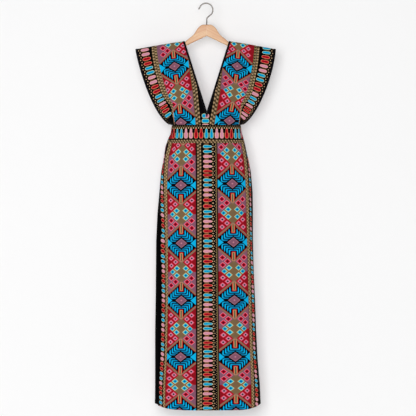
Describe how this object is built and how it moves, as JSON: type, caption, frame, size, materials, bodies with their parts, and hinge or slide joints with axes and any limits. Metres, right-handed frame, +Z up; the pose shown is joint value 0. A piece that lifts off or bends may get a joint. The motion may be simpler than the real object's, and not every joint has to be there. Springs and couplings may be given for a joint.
{
  "type": "long sleeveless vest with winged shoulders on a wooden hanger",
  "caption": "Long sleeveless vest with a deep V neck, winged shoulders, a waistband and a side slit, hung on a wooden hanger with a steel hook.",
  "frame": {"origin": "inside top of the hanger's hook, where a rod carries it", "axes": "+Z up along the hook's stem, the front of the garment faces -Y, +X towards the garment's left-hand shoulder as seen by its wearer"},
  "size_m": [0.533, 0.196, 1.5401],
  "materials": {
    "printed_cloth": "woven polyester with a multicoloured geometric print on black, black on the reverse",
    "black_binding": "black bias binding, soft low sheen",
    "hanger_wood": "pale clear-lacquered beech",
    "hook_steel": "plated steel wire, soft shine"
  },
  "bodies": {
    "root": {"hanger_hook": "hook_steel", "hanger_arm_left": "hanger_wood", "hanger_arm_right": "hanger_wood", "bodice_front": "printed_cloth", "bodice_back": "printed_cloth", "wing_front_left": "printed_cloth", "wing_front_right": "printed_cloth", "wing_back_left": "printed_cloth", "wing_back_right": "printed_cloth", "neck_binding_left": "black_binding", "neck_binding_right": "black_binding", "armhole_binding_left": "black_binding", "armhole_binding_right": "black_binding", "waistband_front": "printed_cloth", "waistband_back": "printed_cloth", "skirt_front": "printed_cloth", "skirt_back": "printed_cloth"}
  },
  "joints": []
}
